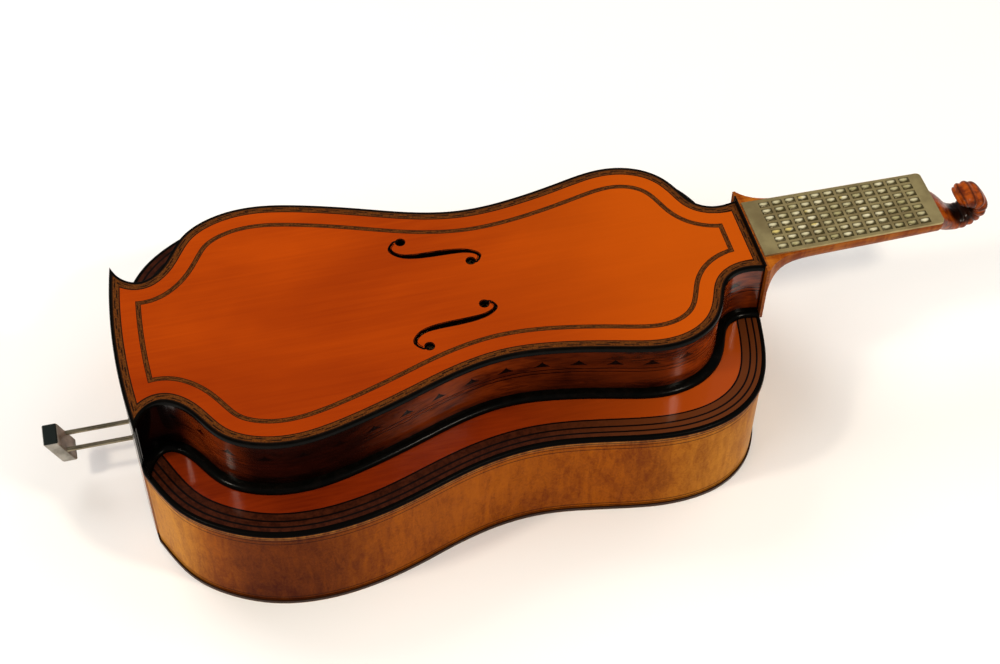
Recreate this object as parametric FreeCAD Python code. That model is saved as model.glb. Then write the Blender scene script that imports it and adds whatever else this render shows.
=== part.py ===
import FreeCAD, Part
import math
import os

os.makedirs("parts", exist_ok=True)
V = FreeCAD.Vector

# ---------------------------------------------------------------- driving sizes, millimetres
# frame: X from the tail to the scroll, Y to the left, Z up from the flat back
BODY_LENGTH = 520.0
LOWER_TABLE_TOP = 98.0
UPPER_TABLE_TOP = 154.0
TAIL_BULGE = 8.0
TAIL_CORNER = (-1.6, 85.0)
NECK_CORNER = 39.5

# half outlines (distance from the tail, half width)
LOWER_OUTLINE = [TAIL_CORNER, (6, 101.5), (21, 126.3), (49.5, 150.3), (85, 165.5), (122, 170.0),
                 (187, 160.0), (255, 138.3), (305, 131.7), (369, 139.9), (425, 146.1),
                 (470, 135.8), (494, 116.5), (509, 88.4), (517.4, 54.1), (BODY_LENGTH, NECK_CORNER)]
UPPER_OUTLINE = [TAIL_CORNER, (5.5, 71.0), (20, 63.0), (36, 71.0), (48.4, 88.0), (60, 104.5),
                 (84, 119.5), (116, 124.8), (162, 117.0), (210, 101.8), (252, 87.8), (291, 81.1),
                 (332, 84.0), (378, 93.6), (419, 100.5), (446, 94.5), (464, 81.0), (475, 62.0),
                 (484, 45.0), (497, 37.6), (BODY_LENGTH, NECK_CORNER)]

BACK_THICK = 3.0
LOWER_TABLE_THICK = 6.0
UPPER_TABLE_THICK = 4.0
RIB_THICK = 3.0
RIB_JOINTS = (150.0, 380.0)
TABLE_OVERHANG = 1.5
BINDING_WIDTH = 4.0
UPPER_BINDING_WIDTH = 2.5
MOULDING_WIDTH = 5.0
MOULDING_HEIGHT = 4.6
MOULDING_BEVEL = 2.6
BINDING_BEVEL = 1.6
UPPER_BINDING_BEVEL = 1.0
LINING_WIDTH = 5.5
LINING_HEIGHT = 6.0
TAIL_PLATE_THICK = 3.0
TAIL_PLATE_HALF = 78.0
END_PLATE_THICK = 2.6
END_PLATE_HALF = 45.5
END_PLATE_RISE = 0.4

# inlaid bands of the upper table
INNER_BAND_INSET = 21.0
INNER_BAND_WIDTH = 4.2
OUTER_BAND_WIDTH = 6.5
BAND_DEPTH = 1.2

# sound holes (centre line, half widths), left one; the right one is its mirror
HOLE_LINE = [(227.5, 56.5), (223.6, 50.5), (228.5, 43.0), (238, 39.2), (252, 37.9), (266, 37.4),
             (279, 36.2), (288, 33.6), (293.8, 28.0), (291.0, 23.0)]
HOLE_HALF = [1.0, 1.1, 1.4, 1.9, 2.4, 2.4, 1.9, 1.4, 1.1, 1.0]
HOLE_EYES = [(233.6, 56.4), (285.6, 23.6)]
HOLE_EYE_R = 3.7

# handle and bellows
ROD_R = 2.0
ROD_Y = 8.6
ROD_Z = 45.5
ROD_CLEAR = 0.05
BUSH_WALL = 1.6
GRIP_THICK = 12.5
GRIP_HALF = 10.9
GRIP_HEIGHT = 27.4
GRIP_LEAN = 11.8
GRIP_GAP = 53.5
GRIP_HOLE = 8.0
GRIP_BEVEL = 1.2
BOARD_THICK = 8.0
BOARD_X = 150.0
BOARD_HALF = 106.0
BOARD_Z = (9.0, 86.0)
REAR_FRAME_X = 22.0
FRONT_FRAME_X = 300.0
FRAME_HALF = 110.0
BELLOWS_HALF = 103.0
BELLOWS_Z = (12.0, 83.0)
PLEAT_DEPTH = 9.0
LEATHER = 1.2
NUT_R = 4.6
NUT_THICK = 3.0

# neck, key plate and keys
PLATE_TOP = 159.2
PLATE_THICK = 2.0
PLATE_END = 679.0
PLATE_HALF = (30.4, 29.2)
PLATE_CORNER_R = 4.0
KEY_COLUMNS = 12
KEY_ROWS = 7
KEY_FIRST_X = 538.0
KEY_PITCH_X = 11.37
KEY_PITCH_Y = 7.95
KEY_TRAVEL = 2.0
CAP_X = 8.4
CAP_Y = 5.0
CAP_RISE = 1.0
CAP_SLOPE = 1.5
CAP_CLEAR = 0.3
SHOULDER_EXTRA = 0.6
SHOULDER_THICK = 1.0
STEM = 2.0
STEM_CLEAR = 0.05
STEM_LENGTH = 6.0
GUIDE_DROP = 4.0
GUIDE_THICK = 1.5
SPRING_THICK = 0.3
WIRE = 0.5
WIRE_DROP = 13.5
WIRE_SPREAD = 0.6
WIRE_GAP = 0.35
WIRE_WAY_HALF = 25.6
WIRE_WAY_BELOW = 0.3
# sections of the neck (distance from the tail, half width, depth below the plate, squareness)
NECK_SECTIONS = [(520, 45.0, 59.5, 5.0), (523.5, 41.5, 47.0, 4.0), (528, 38.0, 36.5, 3.2),
                 (535, 34.5, 31.0, 2.6), (546, 31.8, 28.6, 2.2), (565, 30.6, 28.0, 2.0),
                 (625, 29.9, 26.5, 2.0), (677, 29.2, 25.0, 2.0)]
NECK_STATIONS = 18
# half section of the neck's hollow (half width, depth below the plate)
TROUGH_HALF = 27.6
TROUGH_PROFILE = [(TROUGH_HALF, 6.0), (25.9, 9.3), (21.0, 14.8), (13.0, 19.5)]
TROUGH = (520.0, 669.0)
# scroll sections along its curl (x, z of the middle, thickness, half width)
SCROLL = [(677, 144.5, 24.0, 24.0), (684, 141.5, 19.0, 20.0), (690, 135.3, 17.0, 15.5),
          (696, 131.8, 15.5, 13.5), (703, 129.2, 14.0, 12.5), (712, 130.0, 12.5, 11.8),
          (720.5, 134.0, 14.0, 12.6), (725.0, 142.0, 16.0, 13.6), (721.5, 149.6, 14.5, 14.2),
          (715.5, 151.5, 12.0, 14.2)]
SCROLL_SQUARENESS = 2.6
# the eye that the curl ends in: centre x and z, radius, half length, height of its domed ends
SCROLL_EYE = (712.5, 149.0, 8.6, 14.6, 2.0)
SCROLL_STEPS = 3

# reed chest in the upper body
CHEST_X = (62.0, 440.0)
CHEST_HALF = 62.0
CHEST_WALL = 6.0
CHEST_HEIGHT = 12.0
PAN_THICK = 5.0
REED_PITCH_X = 30.5
REED_PITCH_Y = 17.0
REED_X = 25.0
REED_Y = 12.0
REED_THICK = 1.5
PALLET_THICK = 5.0

# ---------------------------------------------------------------- small helpers


def arc_from(p, tangent, q):
    chord = q.sub(p)
    angle = tangent.getAngle(chord)
    if angle < 0.002:
        return Part.LineSegment(p, q).toShape()
    middle = p.add(q).multiply(0.5)
    apex = p.add(V(tangent).multiply(chord.Length / 2.0 / math.cos(angle)))
    rise = apex.sub(middle).multiply(math.tan(angle / 2.0) / math.tan(angle))
    return Part.Arc(p, middle.add(rise), q).toShape()


def curve(points):
    """Tangent arcs through the points, two for each span."""
    knots = [V(x, y, 0) for x, y in points]
    guide = Part.BSplineCurve()
    guide.interpolate(knots)
    slopes = []
    for p in knots:
        d = guide.tangent(guide.parameter(p))[0]
        slopes.append(V(d.x, d.y, 0).normalize())
    arcs = []
    for p, q, s, t in zip(knots, knots[1:], slopes, slopes[1:]):
        v = q.sub(p)
        both = v.dot(s.add(t))
        open_angle = 2.0 * (1.0 - s.dot(t))
        if open_angle < 1e-9:
            arcs.append(Part.LineSegment(p, q).toShape())
            continue
        reach = (math.sqrt(both * both + open_angle * v.dot(v)) - both) / open_angle
        joint = p.add(V(s).multiply(reach)).add(q.sub(V(t).multiply(reach))).multiply(0.5)
        arcs.append(arc_from(p, s, joint))
        back = arc_from(q, V(t).multiply(-1.0), joint)
        arcs.append(back)
    return arcs


def outline_face(half):
    left = half
    right = [(x, -y) for x, y in half]
    a = left[0]
    b = right[0]
    tail = Part.Arc(V(b[0], b[1], 0), V(-TAIL_BULGE, 0, 0), V(a[0], a[1], 0)).toShape()
    end = Part.LineSegment(V(left[-1][0], left[-1][1], 0), V(right[-1][0], right[-1][1], 0)).toShape()
    edges = Part.__sortEdges__([tail, end] + curve(left) + curve(right))
    return Part.Face(Part.Wire(edges))


def inset(face, distance):
    if distance == 0:
        return face
    return face.makeOffset2D(-distance, join=0)


def prism(face, z0, z1):
    shape = face.copy()
    shape.translate(V(0, 0, z0))
    return shape.extrude(V(0, 0, z1 - z0))


def bevelled_top(solid, z, width, outline=None):
    """Takes off the edges that lie at height z, only those on the outline where one is given."""
    edges = []
    for e in solid.Edges:
        if any(abs(v.Z - z) > 1e-6 for v in e.Vertexes):
            continue
        m = e.valueAt((e.FirstParameter + e.LastParameter) / 2.0)
        if outline is None or outline.OuterWire.distToShape(Part.Vertex(m.x, m.y, 0))[0] < 0.05:
            edges.append(e)
    return solid.makeChamfer(width, edges)


def block(x0, x1, y0, y1, z0, z1):
    return Part.makeBox(x1 - x0, y1 - y0, z1 - z0, V(x0, y0, z0))


def rod_x(r, x0, x1, y, z):
    return Part.makeCylinder(r, x1 - x0, V(x0, y, z), V(1, 0, 0))


def strips(wall, side):
    """One side of a wall, in the three bent strips that meet at the rib joints."""
    cuts = (-50.0,) + RIB_JOINTS + (560.0,)
    near, far = sorted((0.0, side * 250.0))
    return [wall.common(block(x0, x1, near, far, -10, 220)) for x0, x1 in zip(cuts, cuts[1:])]


def save(name, *shapes):
    solids = []
    for shape in shapes:
        solids.extend(shape.Solids)
    out = solids[0] if len(solids) == 1 else Part.makeCompound(solids)
    out.exportStep("parts/" + name + ".step")
    print(name, len(solids), "solids", round(out.Volume / 1000.0, 2), "cm3", flush=True)


# ---------------------------------------------------------------- outlines and common cutters
lower = outline_face(LOWER_OUTLINE)
upper = outline_face(UPPER_OUTLINE)
lower_in = inset(lower, TABLE_OVERHANG + RIB_THICK)
upper_in = inset(upper, TABLE_OVERHANG + RIB_THICK)
rib_lower = inset(lower, TABLE_OVERHANG)
rib_upper = inset(upper, TABLE_OVERHANG)
lower_under = LOWER_TABLE_TOP - LOWER_TABLE_THICK
upper_under = UPPER_TABLE_TOP - UPPER_TABLE_THICK
end_face_x = BODY_LENGTH - END_PLATE_THICK
rim_z = PLATE_TOP - PLATE_THICK
wire_z = rim_z - WIRE_DROP
guide_top = rim_z - GUIDE_DROP

tail_zone = block(-20, 12, -TAIL_PLATE_HALF, TAIL_PLATE_HALF, BACK_THICK, upper_under)
end_zone = block(end_face_x, 560, -200, 200, LOWER_TABLE_TOP, 220)
# the way of the wires out of the neck, through the end of the body
wire_way = block(480, 530, -WIRE_WAY_HALF, WIRE_WAY_HALF, wire_z - WIRE_WAY_BELOW, upper_under)

# ---------------------------------------------------------------- tail face: curved ebony plate
tail_strip = prism(lower, BACK_THICK, upper_under)
shifted = tail_strip.copy()
shifted.translate(V(TAIL_PLATE_THICK, 0, 0))
tail_plate = tail_strip.cut(shifted).common(tail_zone)
bush_r = ROD_R + BUSH_WALL
rod_holes = [rod_x(bush_r, -20, 40, s * ROD_Y, ROD_Z) for s in (1, -1)]
save("tail_plate", tail_plate.cut(rod_holes[0]).cut(rod_holes[1]))

# ---------------------------------------------------------------- back, ribs, linings and lower table
save("back_plate", prism(lower, 0, BACK_THICK))

lower_wall = prism(rib_lower, BACK_THICK, lower_under).cut(prism(lower_in, BACK_THICK, lower_under))
lower_wall = lower_wall.cut(tail_plate).cut(rod_holes[0]).cut(rod_holes[1])
save("lower_rib_left", *strips(lower_wall, 1))
save("lower_rib_right", *strips(lower_wall, -1))

lining_in = inset(lower, TABLE_OVERHANG + RIB_THICK + LINING_WIDTH)
lining_cut = block(-20, 20, -62, 62, 0, 200).fuse(block(484, 540, -60, 60, 0, 200))


def lining(z0):
    ring = prism(lower_in, z0, z0 + LINING_HEIGHT).cut(prism(lining_in, z0, z0 + LINING_HEIGHT))
    return ring.cut(lining_cut)


low_lining = lining(BACK_THICK)
high_lining = lining(lower_under - LINING_HEIGHT)
save("body_linings", low_lining, high_lining)

inner_lower = inset(lower, BINDING_WIDTH)
wind_slots = block(70, 110, -40, 40, 80, 120).fuse(block(320, 380, -40, 40, 80, 120))
lower_table = prism(inner_lower, lower_under, LOWER_TABLE_TOP).cut(wind_slots)
save("lower_table", lower_table)
lower_ring = prism(lower, lower_under, LOWER_TABLE_TOP).cut(prism(inner_lower, lower_under, LOWER_TABLE_TOP))
lower_ring = bevelled_top(lower_ring, LOWER_TABLE_TOP, BINDING_BEVEL, lower)
save("lower_binding", lower_ring.cut(tail_plate))

# ---------------------------------------------------------------- upper ribs, moulding and table
upper_wall = prism(rib_upper, LOWER_TABLE_TOP, upper_under).cut(prism(upper_in, LOWER_TABLE_TOP, upper_under))
upper_wall = upper_wall.cut(tail_plate).cut(end_zone).cut(wire_way)
save("upper_rib_left", *strips(upper_wall, 1))
save("upper_rib_right", *strips(upper_wall, -1))

moulding_top = LOWER_TABLE_TOP + MOULDING_HEIGHT
moulding = prism(inset(upper, -MOULDING_WIDTH), LOWER_TABLE_TOP, moulding_top)
moulding = bevelled_top(moulding, moulding_top, MOULDING_BEVEL)
moulding = moulding.cut(prism(rib_upper, LOWER_TABLE_TOP, moulding_top))
moulding = moulding.common(prism(lower, LOWER_TABLE_TOP, moulding_top))
save("base_moulding", moulding.cut(tail_plate).cut(end_zone))

table_face = inset(upper, UPPER_BINDING_WIDTH)


def sound_hole(side):
    above = []
    below = []
    for i, (x, y) in enumerate(HOLE_LINE):
        j0 = max(i - 1, 0)
        j1 = min(i + 1, len(HOLE_LINE) - 1)
        tx = HOLE_LINE[j1][0] - HOLE_LINE[j0][0]
        ty = HOLE_LINE[j1][1] - HOLE_LINE[j0][1]
        n = math.hypot(tx, ty)
        h = HOLE_HALF[i]
        above.append((x - ty / n * h, side * (y + tx / n * h)))
        below.append((x + ty / n * h, side * (y - tx / n * h)))
    e1 = curve(above)
    e2 = curve(below)
    c1 = Part.LineSegment(V(above[0][0], above[0][1], 0), V(below[0][0], below[0][1], 0)).toShape()
    c2 = Part.LineSegment(V(above[-1][0], above[-1][1], 0), V(below[-1][0], below[-1][1], 0)).toShape()
    face = Part.Face(Part.Wire(Part.__sortEdges__(e1 + e2 + [c1, c2])))
    cutter = prism(face, upper_under - 5, UPPER_TABLE_TOP + 5)
    for x, y in HOLE_EYES:
        cutter = cutter.fuse(Part.makeCylinder(HOLE_EYE_R, 14, V(x, side * y, upper_under - 5)))
    return cutter


def band(outer_inset, width):
    ring = prism(inset(upper, outer_inset), UPPER_TABLE_TOP - BAND_DEPTH, UPPER_TABLE_TOP)
    core = prism(inset(upper, outer_inset + width), UPPER_TABLE_TOP - BAND_DEPTH, UPPER_TABLE_TOP)
    return ring.cut(core).cut(end_zone)


outer_band = band(UPPER_BINDING_WIDTH, OUTER_BAND_WIDTH)
inner_band = band(INNER_BAND_INSET, INNER_BAND_WIDTH)
table = prism(table_face, upper_under, UPPER_TABLE_TOP).cut(end_zone)
table = table.cut(outer_band).cut(inner_band)
for side in (1, -1):
    table = table.cut(sound_hole(side))
save("upper_table", table)
save("outer_purfling", outer_band)
save("inner_purfling", inner_band)
binding = prism(upper, upper_under, UPPER_TABLE_TOP)
binding = binding.cut(prism(table_face, upper_under, UPPER_TABLE_TOP))
binding = bevelled_top(binding, UPPER_TABLE_TOP, UPPER_BINDING_BEVEL, upper)
save("upper_binding", binding.cut(end_zone))

# ---------------------------------------------------------------- blocks inside the body
tail_core = prism(lower_in, BACK_THICK, lower_under).common(block(-20, 18, -60, 60, 0, 200))
tail_core = tail_core.cut(tail_plate)
for hole in rod_holes:
    tail_core = tail_core.cut(hole)
tail_top = prism(upper_in, LOWER_TABLE_TOP, upper_under).common(block(-20, 14, -55, 55, 0, 200)).cut(tail_plate)
save("tail_block", tail_core, tail_top)

neck_core = prism(lower_in, BACK_THICK, lower_under).common(block(486, 560, -58, 58, 0, 200))
neck_top = prism(upper_in, LOWER_TABLE_TOP, upper_under).common(block(488, end_face_x, -33, 33, 0, 200))
neck_top = neck_top.cut(wire_way)
save("neck_block", neck_core, neck_top)

end_plate = block(end_face_x, BODY_LENGTH, -END_PLATE_HALF, END_PLATE_HALF, LOWER_TABLE_TOP,
                  PLATE_TOP - PLATE_THICK + END_PLATE_RISE)
save("neck_end_plate", end_plate.cut(wire_way))

# ---------------------------------------------------------------- handle, rods and bellows
grip_mid_x = -TAIL_BULGE - GRIP_GAP - GRIP_THICK / 2.0
z0 = ROD_Z - GRIP_HEIGHT / 2.0
z1 = ROD_Z + GRIP_HEIGHT / 2.0
half_t = GRIP_THICK / 2.0
half_l = GRIP_LEAN / 2.0
corners = [(grip_mid_x - half_t - half_l, z1), (grip_mid_x + half_t - half_l, z1),
           (grip_mid_x + half_t + half_l, z0), (grip_mid_x - half_t + half_l, z0)]
side_wire = Part.makePolygon([V(x, -GRIP_HALF, z) for x, z in corners + corners[:1]])
grip = Part.Face(side_wire).extrude(V(0, 2 * GRIP_HALF, 0))
grip = grip.makeChamfer(GRIP_BEVEL, grip.Edges)
rod_start = grip_mid_x + half_t - GRIP_HOLE
rod_end = BOARD_X + BOARD_THICK + NUT_THICK + 2.0
rods = [rod_x(ROD_R, rod_start, rod_end, s * ROD_Y, ROD_Z) for s in (1, -1)]
for hole in rods:
    grip = grip.cut(hole)
save("grip", grip)
save("rod_left", rods[0])
save("rod_right", rods[1])

bushes = []
for s in (1, -1):
    bush = rod_x(bush_r, -7.6, 18.0, s * ROD_Y, ROD_Z).cut(rod_x(ROD_R + ROD_CLEAR, -20, 40, s * ROD_Y, ROD_Z))
    bushes.append(bush)
save("rod_bushes", *bushes)

board = block(BOARD_X, BOARD_X + BOARD_THICK, -BOARD_HALF, BOARD_HALF, BOARD_Z[0], BOARD_Z[1])
for rod in rods:
    board = board.cut(rod)
save("moving_board", board)
nuts = []
for s in (1, -1):
    for x in (BOARD_X - NUT_THICK, BOARD_X + BOARD_THICK):
        nut = Part.makePolygon([V(x, s * ROD_Y + NUT_R * math.cos(k * math.pi / 3.0),
                                  ROD_Z + NUT_R * math.sin(k * math.pi / 3.0)) for k in range(7)])
        nuts.append(Part.Face(nut).extrude(V(NUT_THICK, 0, 0)).cut(rod_x(ROD_R, x - 1, x + 9, s * ROD_Y, ROD_Z)))
save("rod_nuts", *nuts)

window = block(0, 500, -BELLOWS_HALF + 24, BELLOWS_HALF - 24, 28, 66)
rear_frame = block(REAR_FRAME_X, REAR_FRAME_X + BOARD_THICK, -FRAME_HALF, FRAME_HALF, BACK_THICK, lower_under)
rear_frame = rear_frame.cut(low_lining).cut(high_lining).cut(window)
save("rear_frame", rear_frame)
front_frame = block(FRONT_FRAME_X, FRONT_FRAME_X + BOARD_THICK, -FRAME_HALF, FRAME_HALF, BACK_THICK, lower_under)
save("front_frame", front_frame.cut(window))


def bellows(x0, x1, pleats):
    step = (x1 - x0) / (2.0 * pleats)

    def ring(x, shrink):
        h = BELLOWS_HALF - shrink
        a = BELLOWS_Z[0] + shrink
        b = BELLOWS_Z[1] - shrink
        return Part.makePolygon([V(x, -h, a), V(x, h, a), V(x, h, b), V(x, -h, b), V(x, -h, a)])

    outer = []
    inner = []
    for i in range(2 * pleats + 1):
        fold = PLEAT_DEPTH if i % 2 else 0.0
        outer.append(ring(x0 + i * step, fold))
        inner.append(ring(x0 + i * step, fold + LEATHER))
    return Part.makeLoft(outer, True, True).cut(Part.makeLoft(inner, True, True))


save("bellows_rear", bellows(REAR_FRAME_X + BOARD_THICK, BOARD_X, 8))
save("bellows_front", bellows(BOARD_X + BOARD_THICK, FRONT_FRAME_X, 9))

# leather check flaps over the windows of the two fixed frames
flap_rear = block(REAR_FRAME_X - 1.5, REAR_FRAME_X, -BELLOWS_HALF + 20, BELLOWS_HALF - 20, 55, 70)
flap_front = block(FRONT_FRAME_X + BOARD_THICK, FRONT_FRAME_X + BOARD_THICK + 1.5,
                   -BELLOWS_HALF + 20, BELLOWS_HALF - 20, 55, 70)
save("valve_flaps", flap_rear, flap_front)

# ---------------------------------------------------------------- reed chest
chest = block(CHEST_X[0], CHEST_X[1], -CHEST_HALF, CHEST_HALF, LOWER_TABLE_TOP, LOWER_TABLE_TOP + CHEST_HEIGHT)
chest = chest.cut(block(CHEST_X[0] + CHEST_WALL, CHEST_X[1] - CHEST_WALL, -CHEST_HALF + CHEST_WALL,
                        CHEST_HALF - CHEST_WALL, 90, 130))
save("reed_chest", chest)
pan_z = LOWER_TABLE_TOP + CHEST_HEIGHT
save("reed_pan", block(CHEST_X[0], CHEST_X[1], -CHEST_HALF, CHEST_HALF, pan_z, pan_z + PAN_THICK))
reeds = []
pallets = []
wires = []
springs = []
pan_mid = (CHEST_X[0] + CHEST_X[1]) / 2.0
for row in range(KEY_ROWS):
    for col in range(KEY_COLUMNS):
        x = pan_mid + (col - (KEY_COLUMNS - 1) / 2.0) * REED_PITCH_X
        y = (row - (KEY_ROWS - 1) / 2.0) * REED_PITCH_Y
        z = pan_z + PAN_THICK
        reeds.append(block(x - REED_X / 2, x + REED_X / 2, y - REED_Y / 2, y + REED_Y / 2, z, z + REED_THICK))
        z = z + REED_THICK
        pallets.append(block(x - REED_X / 2, x + REED_X / 2 - 5, y - REED_Y / 2, y + REED_Y / 2, z, z + PALLET_THICK))
save("reed_plates", *reeds)
save("pallets", *pallets)

# ---------------------------------------------------------------- neck, key plate, scroll


def between(rows, x):
    """The row of a table at x, on a cubic through its neighbours."""
    k = max(i for i in range(len(rows) - 1) if rows[i][0] <= x)
    first, second = rows[k], rows[k + 1]
    before = rows[k - 1] if k else first
    after = rows[k + 2] if k + 2 < len(rows) else second
    span = second[0] - first[0]
    s = (x - first[0]) / span
    row = []
    for j in range(1, len(first)):
        slope_0 = (second[j] - before[j]) / (second[0] - before[0]) * span
        slope_1 = (after[j] - first[j]) / (after[0] - first[0]) * span
        row.append((1 + 2 * s) * (1 - s) ** 2 * first[j] + s * (1 - s) ** 2 * slope_0
                   + s * s * (3 - 2 * s) * second[j] + s * s * (s - 1) * slope_1)
    return row


def oval_point(t, half, depth, power):
    """A point of a squared oval: across, and up."""
    c = math.cos(t)
    s = math.sin(t)
    return half * math.copysign(abs(c) ** (2.0 / power), c), depth * math.copysign(abs(s) ** (2.0 / power), s)


def neck_ring(x, count=17):
    half, depth, power = between(NECK_SECTIONS, x)
    points = []
    for i in range(count):
        y, drop = oval_point(math.pi * i / (count - 1), half, depth, power)
        points.append(V(x, -y, rim_z - drop))
    side = Part.BSplineCurve()
    side.interpolate(points)
    return Part.Wire([side.toShape(), Part.LineSegment(points[-1], points[0]).toShape()])


neck_start = NECK_SECTIONS[0][0]
neck_run = NECK_SECTIONS[-1][0] - neck_start
# the stations crowd together in the hollow sweep of the heel
stations = [neck_start + neck_run * (k / (NECK_STATIONS - 1.0)) ** 2 for k in range(NECK_STATIONS)]
neck = Part.makeLoft([neck_ring(x) for x in stations], True, True)
trough_half = [(TROUGH_HALF, -1.0)] + TROUGH_PROFILE
trough_pts = [(-y, rim_z - d) for y, d in trough_half] + [(y, rim_z - d) for y, d in reversed(trough_half)]
trough_wire = Part.makePolygon([V(TROUGH[0], y, z) for y, z in trough_pts + trough_pts[:1]])
trough = Part.Face(trough_wire).extrude(V(TROUGH[1] - TROUGH[0], 0, 0))
neck = neck.cut(trough)
save("neck", neck)

plate_pts = [V(BODY_LENGTH, -PLATE_HALF[0], rim_z), V(PLATE_END, -PLATE_HALF[1], rim_z),
             V(PLATE_END, PLATE_HALF[1], rim_z), V(BODY_LENGTH, PLATE_HALF[0], rim_z)]
plate = Part.Face(Part.makePolygon(plate_pts + plate_pts[:1])).extrude(V(0, 0, PLATE_THICK))
round_edges = []
for e in plate.Edges:
    p = e.Vertexes[0].Point
    q = e.Vertexes[-1].Point
    if abs(p.x - PLATE_END) < 0.01 and abs(q.x - PLATE_END) < 0.01 and abs(p.y - q.y) < 0.01:
        round_edges.append(e)
plate = plate.makeFillet(PLATE_CORNER_R, round_edges)


def key_centre(row, col):
    return KEY_FIRST_X + col * KEY_PITCH_X, (row - (KEY_ROWS - 1) / 2.0) * KEY_PITCH_Y


windows = []
for row in range(KEY_ROWS):
    for col in range(KEY_COLUMNS):
        x, y = key_centre(row, col)
        hx = CAP_X / 2 + CAP_CLEAR
        hy = CAP_Y / 2 + CAP_CLEAR
        windows.append(block(x - hx, x + hx, y - hy, y + hy, rim_z - 1, PLATE_TOP + 1))
plate = plate.cut(Part.makeCompound(windows))
save("key_plate", plate)

guide = block(TROUGH[0] + 2, TROUGH[1], -TROUGH_HALF, TROUGH_HALF, guide_top - GUIDE_THICK, guide_top)
for row in range(KEY_ROWS):
    x, y = key_centre(row, 0)
    half = STEM / 2 + STEM_CLEAR
    guide = guide.cut(block(x - 4, x + (KEY_COLUMNS - 1) * KEY_PITCH_X + 4, y - half, y + half,
                            guide_top - GUIDE_THICK - 1, guide_top + 1))
save("guide_board", guide)


def button(row, col):
    x, y = key_centre(row, col)
    top = PLATE_TOP + CAP_RISE
    base = rim_z - SHOULDER_THICK
    cx = CAP_X / 2
    cy = CAP_Y / 2

    def outline(inset, z):
        signs = ((-1, -1), (1, -1), (1, 1), (-1, 1))
        corners = [(x + i * (cx - inset), y + j * (cy - inset)) for i, j in signs]
        return Part.makePolygon([V(u, v, z) for u, v in corners + corners[:1]])

    cap = Part.makeLoft([outline(0, PLATE_TOP), outline(CAP_SLOPE, top)], True, True)
    cap = cap.fuse(block(x - cx, x + cx, y - cy, y + cy, rim_z, PLATE_TOP))
    e = SHOULDER_EXTRA + CAP_CLEAR
    cap = cap.fuse(block(x - cx - e, x + cx + e, y - cy - e, y + cy + e, base, rim_z))
    cap = cap.fuse(block(x - STEM / 2, x + STEM / 2, y - STEM / 2, y + STEM / 2, base - STEM_LENGTH, base))
    return cap.removeSplitter()


for col in range(KEY_COLUMNS):
    save("key_a%02d" % (col + 1), button(0, col))
for row in range(1, KEY_ROWS):
    save("key_row_" + "abcdefg"[row], *[button(row, col) for col in range(KEY_COLUMNS)])

for row in range(KEY_ROWS):
    for col in range(KEY_COLUMNS):
        x, y = key_centre(row, col)
        za = guide_top
        zb = rim_z - SHOULDER_THICK
        leaf = Part.makePolygon([V(x + 4.0, y - 1, za), V(x + 4.4, y - 1, za), V(x + 1.9, y - 1, zb),
                                 V(x + 1.5, y - 1, zb), V(x + 4.0, y - 1, za)])
        springs.append(Part.Face(leaf).extrude(V(0, 2, 0)))
        px = pan_mid + (col - (KEY_COLUMNS - 1) / 2.0) * REED_PITCH_X + 8.0
        yw = y * WIRE_SPREAD + (col - (KEY_COLUMNS - 1) / 2.0) * WIRE_GAP
        wires.append(block(px, x, yw - WIRE / 2, yw + WIRE / 2, wire_z, wire_z + WIRE))
save("key_springs", *springs)
save("tracker_wires", *wires)


scroll_rows = [(k,) + row for k, row in enumerate(SCROLL)]
scroll_last = len(SCROLL) - 1


def scroll_ring(t, count=14):
    x, z, thick, half = between(scroll_rows, t)
    behind = between(scroll_rows, max(t - 0.1, 0))
    ahead = between(scroll_rows, min(t + 0.1, scroll_last))
    along = V(ahead[0] - behind[0], 0, ahead[1] - behind[1]).normalize() if t else V(1, 0, 0)
    points = []
    for k in range(count):
        y, rise = oval_point(2.0 * math.pi * (k + 0.5) / count, half, thick / 2.0, SCROLL_SQUARENESS)
        points.append(V(x - along.z * rise, y, z + along.x * rise))
    return Part.makePolygon(points + points[:1])


rings = [scroll_ring(k / SCROLL_STEPS) for k in range(scroll_last * SCROLL_STEPS + 1)]
stem = Part.makeLoft(rings, True, True)
eye_x, eye_z, eye_r, eye_half, dome = SCROLL_EYE
half_eye = [(eye_half, 0.0), (eye_half, eye_r * 0.45), (eye_half - dome * 0.4, eye_r * 0.8),
            (eye_half - dome, eye_r)]
eye_line = [(-y, r) for y, r in half_eye] + half_eye[::-1] + [(-eye_half, 0.0)]
profile = Part.makePolygon([V(eye_x, y, eye_z + r) for y, r in eye_line])
eye = Part.Face(profile).revolve(V(eye_x, 0, eye_z), V(0, 1, 0), 360)
save("scroll", stem.fuse(eye))
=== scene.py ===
import math

import bmesh
import bpy
import numpy as np
from mathutils import Matrix, Vector


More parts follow.
